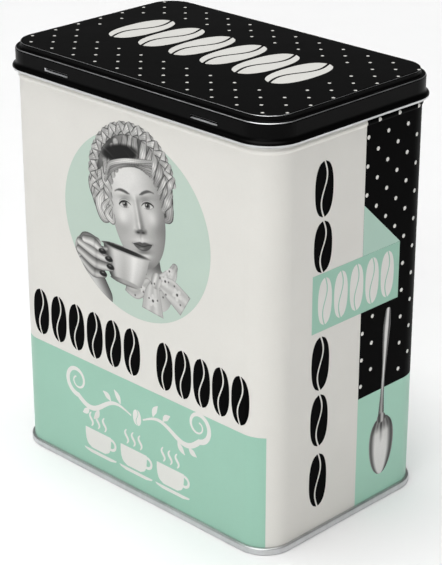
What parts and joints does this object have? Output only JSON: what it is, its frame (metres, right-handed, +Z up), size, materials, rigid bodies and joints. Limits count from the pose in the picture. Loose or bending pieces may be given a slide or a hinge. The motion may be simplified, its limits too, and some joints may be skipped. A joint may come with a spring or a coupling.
{
  "type": "coffee tin",
  "caption": "Upright rounded-rectangle storage tin with a hinged lid, printed walls and a rolled bottom rim.",
  "frame": {"origin": "middle of the base, on the surface that the tin stands on", "axes": "+Z up, the wide picture face towards -Y, the narrow face with the spoon towards +X, the hinge at +Y"},
  "size_m": [0.1532, 0.0992, 0.182],
  "materials": {
    "wall_print": "satin printed tinplate, ivory ground",
    "mint_print": "satin printed tinplate, mint ink",
    "black_print": "satin printed tinplate, black ink",
    "white_print": "satin printed tinplate, white ink",
    "lid_black": "semi-gloss black lacquer",
    "tinplate": "bare tinplate"
  },
  "bodies": {
    "tin_body": {"body_wall": "wall_print", "bottom_panel": "tinplate", "hinge_strap_left": "tinplate", "hinge_strap_right": "tinplate"},
    "lid_leaf": {"lid": "lid_black", "hinge_wire": "tinplate"}
  },
  "joints": [
    {"name": "lid_hinge", "type": "hinge", "parent": "tin_body", "child": "lid_leaf", "pos_m": [0, 0.0484, 0.1716], "axis": [-1, 0, 0], "range_deg": [0, 105]}
  ]
}
